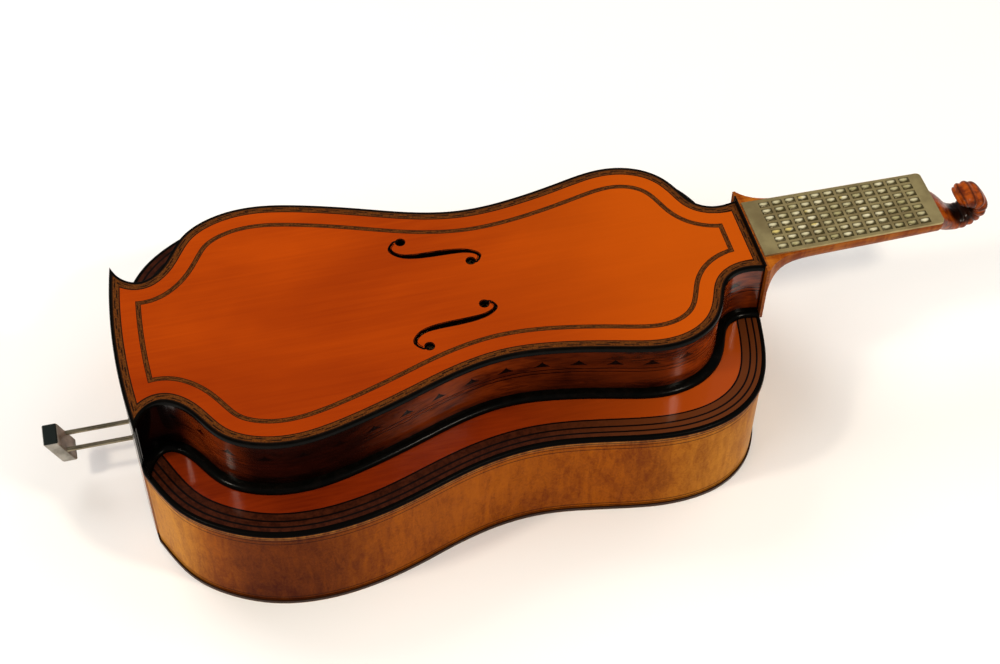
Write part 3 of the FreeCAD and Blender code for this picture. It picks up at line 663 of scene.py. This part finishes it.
def tailArc(count, longer=1.0):
    # the bulging tail from the right corner to the left one, or a longer piece of its circle
    corner, half = tailCorner
    sag = body["tailBulge"] + corner
    radius = (half * half + sag * sag) / (2 * sag)
    swing = math.asin(half / radius) * longer
    centre = np.array([radius - body["tailBulge"], 0.0])
    return np.array([centre + radius * np.array([-math.cos(s), math.sin(s)])
                     for s in np.linspace(-swing, swing, count)])


def shifted(line, inset):
    # a line moved to its inner side
    run = np.gradient(line, axis=0)
    run /= np.linalg.norm(run, axis=1)[:, None]
    return line + inset * np.stack([run[:, 1], -run[:, 0]], 1)


def meet(first, second):
    # where two runs cross, searched from the end of the first and the start of the second
    b0, s = second[:-1], np.diff(second, axis=0)
    for i in range(len(first) - 2, -1, -1):
        r = first[i + 1] - first[i]
        q = b0 - first[i]
        cross = r[0] * s[:, 1] - r[1] * s[:, 0]
        cross[abs(cross) < tiny ** 2] = tiny ** 2
        t = (q[:, 0] * s[:, 1] - q[:, 1] * s[:, 0]) / cross
        u = (q[:, 0] * r[1] - q[:, 1] * r[0]) / cross
        hit = np.nonzero((t >= -tiny) & (t <= 1 + tiny) & (u >= -tiny) & (u <= 1 + tiny))[0]
        if len(hit):
            return i, hit[0], first[i] + t[hit[0]] * r
    return None


def sides(half):
    left = smoothLine(half, points["side"])
    end = evenly(np.array([neckCorner, neckCorner * mirrored]), points["end"])
    return [left, end, left[::-1] * mirrored, tailArc(points["tail"])]


def ring(half, inset):
    # a closed loop at a distance inside the outline, with its four corners kept sharp
    runs = [shifted(line, inset) for line in sides(half)]
    if inset > tiny:
        corners = [meet(runs[k], runs[(k + 1) % 4]) for k in range(4)]
        for k, line in enumerate(list(runs)):
            before, after = corners[k - 1], corners[k]
            runs[k] = np.vstack([[before[2]], line[before[1] + 1:after[0] + 1], [after[2]]])
    return np.vstack([evenly(line, count + 1)[:-1] for line, count in zip(runs, points["ring"])])


def course(half, inset, wrap, stop):
    # one side at a distance inside the outline. It begins on the tail at the half width wrap, or where it
    # meets the inner face of the tail plate if there is none, and ends at stop
    side, _, _, tail = sides(half)
    line = shifted(side, inset)
    corner = meet(shifted(tail, inset), line) if inset > tiny else (len(tail), -1, line[0])
    if wrap and corner[2][1] >= wrap:
        back = np.vstack([shifted(tail, inset)[:corner[0] + 1], [corner[2]]])
        back = back[back[:, 1] >= wrap - lead["slack"]]
    else:
        ahead = line[0] - line[lead["from"]]
        line = np.vstack([line[0] + ahead / np.linalg.norm(ahead) * lead["length"], line])
        longTail = tailArc(points["longTail"], lead["tail"])
        corner = meet(shifted(longTail, body["tailPlate"]), line) or (0, -1, line[0])
        back = np.array([corner[2]] * 2)
    line = np.vstack([[corner[2]], line[corner[1] + 1:]])
    line = evenly(line[line[:, 0] <= stop], points["course"][1])
    return np.vstack([evenly(back, points["course"][0])[:-1], line]) if wrap else line


def lift(line, height):
    return [Vector((x * mm, y * mm, height * mm)) for x, y in line]


def sweep(rows, across, closedPath, closedProfile):
    # rows: one chain of points for each corner of the section, all with as many points
    # across: what each corner counts as across the strip, for the finishes
    bm = bmesh.new()
    station = bm.verts.layers.int.new("station")
    level = bm.verts.layers.int.new("level")
    uv = bm.loops.layers.uv.new("strip")
    count = len(rows[0])
    verts = []
    for i, co in enumerate(rows[0]):
        v = bm.verts.new(co)
        v[station] = i
        verts.append(v)
    edges = [bm.edges.new((verts[i], verts[(i + 1) % count]))
             for i in range(count if closedPath else count - 1)]
    path = list(rows) + ([rows[0]] if closedProfile else [])
    for k, row in enumerate(path[1:], 1):
        made = bmesh.ops.extrude_edge_only(bm, edges=edges)["geom"]
        for v in made:
            if isinstance(v, bmesh.types.BMVert):
                v.co = row[v[station]]
                v[level] = k
        edges = [e for e in made if isinstance(e, bmesh.types.BMEdge)]
        edges = [e for e in edges if all(v[level] == k for v in e.verts)]
    chain = np.array([list(p) for p in rows[0]])
    run = np.concatenate([[0], np.cumsum(np.linalg.norm(np.diff(chain, axis=0), axis=1))])
    total = run[-1] + np.linalg.norm(chain[0] - chain[-1])
    values = list(across) + ([across[0]] if closedProfile else [])
    for face in bm.faces:
        stations = [v[station] for v in face.verts]
        wraps = closedPath and max(stations) - min(stations) > count // 2
        for loop in face.loops:
            s = loop.vert[station]
            loop[uv].uv = (total if wraps and s == 0 else run[s], values[loop.vert[level]])
    bmesh.ops.remove_doubles(bm, verts=bm.verts, dist=weld)
    if closedPath != closedProfile:
        bmesh.ops.holes_fill(bm, edges=[e for e in bm.edges if e.is_boundary], sides=0)
    return bm


def settle(bm, name, look, bodyName, replaced=(), crease=35):
    # crease: edges sharper than this are kept sharp, degrees
    bmesh.ops.recalc_face_normals(bm, faces=bm.faces)
    mesh = bpy.data.meshes.new(name)
    bm.to_mesh(mesh)
    bm.free()
    mesh.materials.append(looks[look])
    mesh.shade_smooth()
    mesh.set_sharp_from_angle(angle=math.radians(crease))
    piece = addObject(name, mesh)
    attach(piece, bodyName)
    if replaced:
        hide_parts(*replaced)
    return piece


def ringPiece(name, section, across, look, node, crease=35):
    # a loop inside the upper outline, cut off at the plate between body and neck
    rows = []
    for inset, height in section:
        line = ring(upperHalf, inset)
        line[:, 0] = np.minimum(line[:, 0], body["upperEnd"])
        rows.append(lift(line, height))
    settle(sweep(rows, across, True, True), name, look, "body", (node,), crease)


def sidePiece(name, half, section, across, look, wrap, stop, node, crease=35):
    # one piece along each side; its name, and a node that ends with a line, go on with the side
    for side, flip in (("Left", 1), ("Right", mirrored)):
        rows = []
        for inset, height in section:
            line = course(half, inset, wrap, stop)
            line[-1, 0] = stop
            rows.append(lift(line * flip, height))
        replaced = node + side.lower() if node.endswith("_") else node
        settle(sweep(rows, across, False, True), name + side, look, "body", (replaced,), crease)


def roundPiece(name, half, section, across, look, wrap, replaced=(), crease=35):
    # both sides and the neck end in one run, open at the tail
    rows = []
    for inset, height in section:
        left = course(half, inset, wrap, body["length"] - inset)
        middle = evenly(np.array([left[-1], left[-1] * mirrored]), points["across"])[1:-1]
        rows.append(lift(np.vstack([left, middle, left[::-1] * mirrored]), height))
    settle(sweep(rows, across, False, True), name, look, "body", replaced, crease)


upperTrim = {
    "width": 2.5, "round": 1.4, "bevel": 0.3,   # black edging; bevel is a share of round
    "bands": (("outerBand", 2.5, 9.0, "outer_purfling"), ("innerBand", 21.0, 25.2, "inner_purfling")),
    "deep": 1.2,
}


def makeUpperTrim():
    top, under = body["upperTop"], body["upperUnder"]
    wide, r = upperTrim["width"], upperTrim["round"]
    cut = r * upperTrim["bevel"]
    section = [(wide, under), (0.0, under), (0.0, top - r), (cut, top - cut), (r, top), (wide, top)]
    ringPiece("upperEdge", section, range(len(section)), "ebony", "upper_binding", crease=40)
    low = top - upperTrim["deep"]
    for name, a, b, node in upperTrim["bands"]:
        section = [(a, top), (b, top), (b, low), (a, low)]
        ringPiece(name, section, (0, 1, 1, 0), "purfling", node)


soundHole = {
    # centre line and half widths of the left hole, millimetres; the right one is its mirror
    "line": [(227.5, 56.5), (223.6, 50.5), (228.5, 43.0), (238, 39.2), (252, 37.9), (266, 37.4), (279, 36.2),
             (288, 33.6), (293.8, 28.0), (291.0, 23.0)],
    "half": [1.0, 1.1, 1.4, 1.9, 2.4, 2.4, 1.9, 1.4, 1.1, 1.0],
    "eyes": [(233.6, 56.4), (285.6, 23.6)], "eyeRadius": 3.7, "rim": 0.6, "proud": 0.06, "deep": 0.4,
    "links": [[(226.8, 57.0), (229.0, 58.0), (232.0, 57.8)], [(291.6, 22.6), (289.8, 21.5), (286.6, 21.9)]],
    "linkHalf": 0.9, "steps": 80, "eyeSteps": 36,
}


def makeSoundHoleRims():
    # a thin black line inlaid round each opening
    line, half = np.array(soundHole["line"]), np.array(soundHole["half"])[:, None]
    rim, linkHalf = soundHole["rim"], soundHole["linkHalf"]
    chains = []
    for hand in (-1, 1):
        near, far = (smoothLine(shifted(line, hand * reach), soundHole["steps"])
                     for reach in (half, half + rim))
        chains.append((near, far, False))
    for link in soundHole["links"]:
        link = np.array(link)
        chains.append((shifted(link, linkHalf), shifted(link, -linkHalf), False))
    turn = np.linspace(0, 2 * math.pi, soundHole["eyeSteps"] + 1)[:-1]
    circle = np.stack([np.cos(turn), np.sin(turn)], 1)
    for eye in soundHole["eyes"]:
        radius = soundHole["eyeRadius"]
        chains.append((np.array(eye) + circle * radius, np.array(eye) + circle * (radius + rim), True))
    high, low = body["upperTop"] + soundHole["proud"], body["upperTop"] - soundHole["deep"]
    for name, flip in (("soundHoleRimLeft", 1), ("soundHoleRimRight", mirrored)):
        whole = bmesh.new()
        for near, far, closed in chains:
            rows = [lift(line * flip, height)
                    for line, height in ((near, high), (far, high), (far, low), (near, low))]
            part = sweep(rows, (0, 0, 0, 0), closed, True)
            spare = bpy.data.meshes.new("spare")
            part.to_mesh(spare)
            part.free()
            whole.from_mesh(spare)
            bpy.data.meshes.remove(spare)
        settle(whole, name, "ebony", "body", crease=40)


def makeWalls(name, half, low, high, look, stop, node):
    out, inn = body["overhang"], body["overhang"] + body["rib"]
    section = [(out, low), (out, high), (inn, high), (inn, low)]
    across = (low * mm, high * mm, high * mm, low * mm)
    sidePiece(name, half, section, across, look, body["tailPlateHalf"], stop, node)


moulding = {"reach": 6.6, "height": 4.4, "flat": 1.0, "foot": 1.2, "steps": 6}


def makeMoulding():
    # a quarter round from the ledge up to the wall
    low, reach, high = body["lowerTop"], moulding["reach"], moulding["height"]
    section = [(body["overhang"], low), (-reach, low)]
    for k in range(1, moulding["steps"] + 1):
        turn = math.radians(90 * k / moulding["steps"])
        section.append((-reach + (reach - moulding["flat"]) * (1 - math.cos(turn)),
                        low + moulding["foot"] + (high - moulding["foot"]) * math.sin(turn)))
    section.append((body["overhang"], low + high))
    sidePiece("moulding", upperHalf, section, [0] * len(section), "ebony", None, body["upperEnd"],
              "base_moulding", crease=50)


lowerTrim = {
    "edge": 4.0, "round": 2.4, "bevel": (0.12, 0.5),   # black edging; bevel is in shares of round
    "border": 21.0, "proud": 0.15, "deep": 0.5,
}


def makeLowerTrim():
    top, under, edge, border = body["lowerTop"], body["lowerUnder"], lowerTrim["edge"], lowerTrim["border"]
    r = lowerTrim["round"]
    near, far = (r * share for share in lowerTrim["bevel"])
    section = [(edge, under), (0.0, under), (0.0, top - r), (near, top - far), (far, top - near), (r, top),
               (edge, top)]
    roundPiece("lowerEdge", lowerHalf, section, [0] * len(section), "lowerRim",
               body["tailPlateHalf"], ("lower_binding",), crease=40)
    high, low = top + lowerTrim["proud"], top - lowerTrim["deep"]
    section = [(edge, high), (border, high), (border, low), (edge, low)]
    roundPiece("lowerBorder", lowerHalf, section, (0, 1, 1, 0), "border", None)


makeUpperTrim()
makeSoundHoleRims()
makeWalls("upperRib", upperHalf, body["lowerTop"], body["upperUnder"], "rosewood",
          body["upperEnd"], "upper_rib_")
makeMoulding()
makeLowerTrim()
makeWalls("lowerRib", lowerHalf, body["back"], body["lowerUnder"], "burrMaple",
          body["lowerEnd"], "lower_rib_")
print("shell made")

neck = {
    "rim": 157.2, "rings": 40, "around": 24,
    "hollow": (27.6, 19.5, 0.8),   # half width, depth, power of its curve
    # distance from the tail, half width, depth under the plate, squareness
    "sections": [(520, 45.0, 59.5, 5.0), (521.5, 43.4, 53.0, 4.6), (523.5, 41.5, 47.0, 4.0),
                 (528, 38.0, 36.5, 3.2), (535, 34.5, 31.0, 2.6), (546, 31.8, 28.6, 2.2),
                 (565, 30.6, 28.0, 2.0), (595, 30.2, 27.2, 2.0), (625, 29.9, 26.5, 2.0),
                 (677, 29.2, 25.0, 2.0)],
}


def arch(x, half, depth, power, turns):
    # a half round hanging from the rim of the neck
    line = []
    for i in turns:
        turn = math.pi * i / neck["around"]
        c, s = math.cos(turn), math.sin(turn)
        y = -half * math.copysign(abs(c) ** power, c)
        line.append(Vector((x * mm, y * mm, (neck["rim"] - depth * abs(s) ** power) * mm)))
    return line


def makeNeck():
    around = neck["around"]
    table = smoothLine(neck["sections"], neck["rings"])
    rows = [arch(x, half, depth, 2 / power, range(around + 1))
            + arch(x, *neck["hollow"], range(around, -1, -1)) for x, half, depth, power in table]
    bm = sweep(rows, table[:, 0] * mm, True, False)
    settle(bm, "neckShaft", "neckWood", "body", ("neck",), crease=40)


scroll = {
    # along the curl: x, z, thickness, half width, lean to the far side
    "sections": [(675.5, 147.0, 20.0, 22.0, 0), (681, 143.4, 20.0, 20.8, 0), (686, 139.4, 19.0, 18.4, 0),
                 (691, 135.2, 17.0, 16.2, 0), (697, 131.6, 14.5, 14.2, 0), (704, 129.7, 13.0, 13.0, 0),
                 (711.0, 130.6, 13.0, 12.6, 0), (717.2, 135.6, 14.5, 12.9, 0),
                 (721.2, 142.6, 15.8, 13.4, 0), (720.2, 149.2, 15.0, 13.9, 0.3),
                 (715.6, 152.6, 13.4, 14.0, 0.6), (709.8, 153.0, 12.0, 13.2, 1.2),
                 (706.0, 151.4, 9.6, 11.8, 2.0), (703.8, 149.6, 6.0, 8.6, 2.4)],
    "rings": 180, "around": 32,
    "power": 0.98, "squaring": 0.22,          # round at the stem, squarer at the head
    "carvedFrom": 64, "carvedOver": 30,       # rings
    "ridges": 10, "swell": (0.09, 0.8), "depth": 1.1, "notch": (0.7, 0.6),   # the knuckles
}


def makeScroll():
    # a stem that squares off as it rolls over into a head with carved knuckles across its back
    count, start, around = scroll["rings"], scroll["carvedFrom"], scroll["around"]
    swell, evenSwell = scroll["swell"]
    sharp, evenNotch = scroll["notch"]
    table = smoothLine(scroll["sections"], count)
    run = np.gradient(table[:, :2], axis=0)
    rows = []
    for i, (x, z, thick, half, lean) in enumerate(table):
        tx, tz = run[i] / np.linalg.norm(run[i])
        carved = min(1.0, max(0.0, (i - start) / scroll["carvedOver"]))
        wave = abs(math.sin((i - start) * math.pi * scroll["ridges"] / (count - start)))
        power = scroll["power"] - scroll["squaring"] * min(1.0, i / start)
        line = []
        for k in range(around):
            turn = 2 * math.pi * (k + 0.5) / around
            c, s = math.cos(turn), math.sin(turn)
            u = math.copysign(abs(c) ** power, c) * half * (1 + carved * swell * (wave - evenSwell))
            v = math.copysign(abs(s) ** power, s) * thick / 2
            if s < 0:
                v -= carved * scroll["depth"] * (wave ** sharp - evenNotch)
            line.append(Vector(((x - tz * v) * mm, (u + lean) * mm, (z + tx * v) * mm)))
        rows.append(line)
    bm = sweep(rows, range(count), True, False)
    settle(bm, "scrollHead", "scrollWood", "body", ("scroll",), crease=50)


makeNeck()
makeScroll()
print("neck and scroll made")

keys = {
    # the board: rows a to g of as many buttons, millimetres
    "rows": "abcdefg", "columns": 12, "firstX": 538.0, "pitchX": 11.37, "pitchY": 7.95,
    # the cap, the shoulder under the plate that holds it in, and the stem
    "capX": 8.4, "capY": 5.0, "plateTop": 159.2, "rise": 1.0, "bevel": 1.9, "bevelSteps": 3,
    "shoulder": 0.9, "shoulderDepth": 1.0, "bottom": 156.2, "stem": 2.0, "stemLength": 6.0,
}
# a leaf that stands on the guide board beside the stem and leans towards it
spring = {"foot": 4.2, "lean": -2.5, "thick": 0.4, "wide": 2.0, "low": 153.2, "high": 156.2}


def buttonGroups():
    # each button of row a moves alone, every other row as one: the end of its names, and its places
    for row, letter in enumerate(keys["rows"]):
        y = (row - (len(keys["rows"]) - 1) / 2) * keys["pitchY"]
        places = [(keys["firstX"] + column * keys["pitchX"], y) for column in range(keys["columns"])]
        if row:
            yield "_row_" + letter, places
        else:
            for column, place in enumerate(places, 1):
                yield "_%s%02d" % (letter, column), [place]


def addBox(bm, x, y, low, high, long, wide):
    made = bmesh.ops.create_cube(bm, size=1.0)["verts"]
    bmesh.ops.scale(bm, vec=(long * mm, wide * mm, (high - low) * mm), verts=made)
    bmesh.ops.translate(bm, vec=(x * mm, y * mm, (low + high) / 2 * mm), verts=made)
    return made


def addCap(bm, x, y):
    bottom = keys["bottom"]
    low = bottom + keys["shoulderDepth"]
    made = addBox(bm, x, y, low, keys["plateTop"] + keys["rise"], keys["capX"], keys["capY"])
    upper = [e for v in made for e in v.link_edges if all(w.co.z > low * mm + tiny for w in e.verts)]
    bmesh.ops.bevel(bm, geom=list(dict.fromkeys(upper)), offset=keys["bevel"] * mm, offset_type="OFFSET",
                    segments=keys["bevelSteps"], profile=0.5, affect="EDGES", material=-1)
    more = 2 * keys["shoulder"]
    addBox(bm, x, y, bottom, low, keys["capX"] + more, keys["capY"] + more)
    addBox(bm, x, y, bottom - keys["stemLength"], bottom, keys["stem"], keys["stem"])


def makeKeys():
    for tag, places in buttonGroups():
        bm = bmesh.new()
        for x, y in places:
            addCap(bm, x, y)
        name = ("cap" if len(places) == 1 else "caps") + tag
        settle(bm, name, "capBrass", "key" + tag, ("key" + tag,), crease=30)


def makeSprings():
    # the foot of each stands on the guide board and its tip leans towards the stem
    low, high = spring["low"], spring["high"]
    for tag, places in buttonGroups():
        bm = bmesh.new()
        for x, y in places:
            made = addBox(bm, x + spring["foot"], y, low, high, spring["thick"], spring["wide"])
            upper = [v for v in made if v.co.z > (low + high) / 2 * mm]
            bmesh.ops.translate(bm, vec=(spring["lean"] * mm, 0, 0), verts=upper)
        name = ("spring" if len(places) == 1 else "springs") + tag
        piece = settle(bm, name, "steel", "body", ("key_springs",), crease=30)
        piece.parent = None
        "key" + tag
        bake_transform(piece)


makeKeys()
makeSprings()
print("keys and springs made")

bellows = {
    # millimetres: half width, heights above the back, depth of a fold, leather, and the line of the stretch
    "half": 103.0, "low": 12.0, "high": 83.0, "fold": 9.0, "leather": 1.2, "line": 50.0,
    "rear": (30.0, 150.0, 8), "front": (158.0, 300.0, 9),   # from, to, pleats
}


def makeBellows(name, span, node, first):
    x0, x1, pleats = span
    folds = 2 * pleats
    outer, inner = [], []
    for i in range(folds + 1):
        x = x0 + i * (x1 - x0) / folds
        for rows, extra in ((outer, 0.0), (inner, bellows["leather"])):
            cut = (bellows["fold"] if i % 2 else 0.0) + extra
            h, a, b = bellows["half"] - cut, bellows["low"] + cut, bellows["high"] - cut
            rows.append([Vector((x * mm, y * mm, z * mm)) for y, z in ((-h, a), (h, a), (h, b), (-h, b))])
    rows = outer + inner[::-1]
    bm = sweep(rows, range(len(rows)), True, True)
    bmesh.ops.subdivide_edges(bm, edges=bm.edges, cuts=1, use_grid_fill=True)
    piece = settle(bm, name, "leather", first, (node,), crease=20)
    piece.parent = None
    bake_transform(piece)


makeBellows("rearBellows", bellows["rear"], "bellows_rear", "body")
makeBellows("frontBellows", bellows["front"], "bellows_front", "handle")
print("bellows made")

# the finish of each node that is shown as it is; the others inside are pine
nodeLooks = {
    "tail_plate": "tailBoard", "neck_block": "endBlock", "back_plate": "backWood",
    "lower_table": "darkTop", "upper_table": "spruce", "neck_end_plate": "endPlate",
    "key_plate": "plateMetal", "rod_left": "steel", "rod_right": "steel", "rod_nuts": "steel",
    "key_springs": "steel", "grip": "gripMetal", "rod_bushes": "brass", "reed_plates": "brass",
    "tracker_wires": "brass", "valve_flaps": "leather",
}
for name, node in nodes.items():
    node.data.materials.clear()
    node.data.materials.append(looks[nodeLooks.get(name, "pine")])
print("nodes finished")

ground = {"half": 4, "drop": 0.0002}   # metres


def makeFloor():
    bm = bmesh.new()
    bmesh.ops.create_grid(bm, x_segments=1, y_segments=1, size=ground["half"])
    mesh = bpy.data.meshes.new("floor")
    bm.to_mesh(mesh)
    bm.free()
    mesh.materials.append(looks["floor"])
    floor = addObject("floor", mesh)
    floor.location.z = -ground["drop"]


makeFloor()
print("floor made")
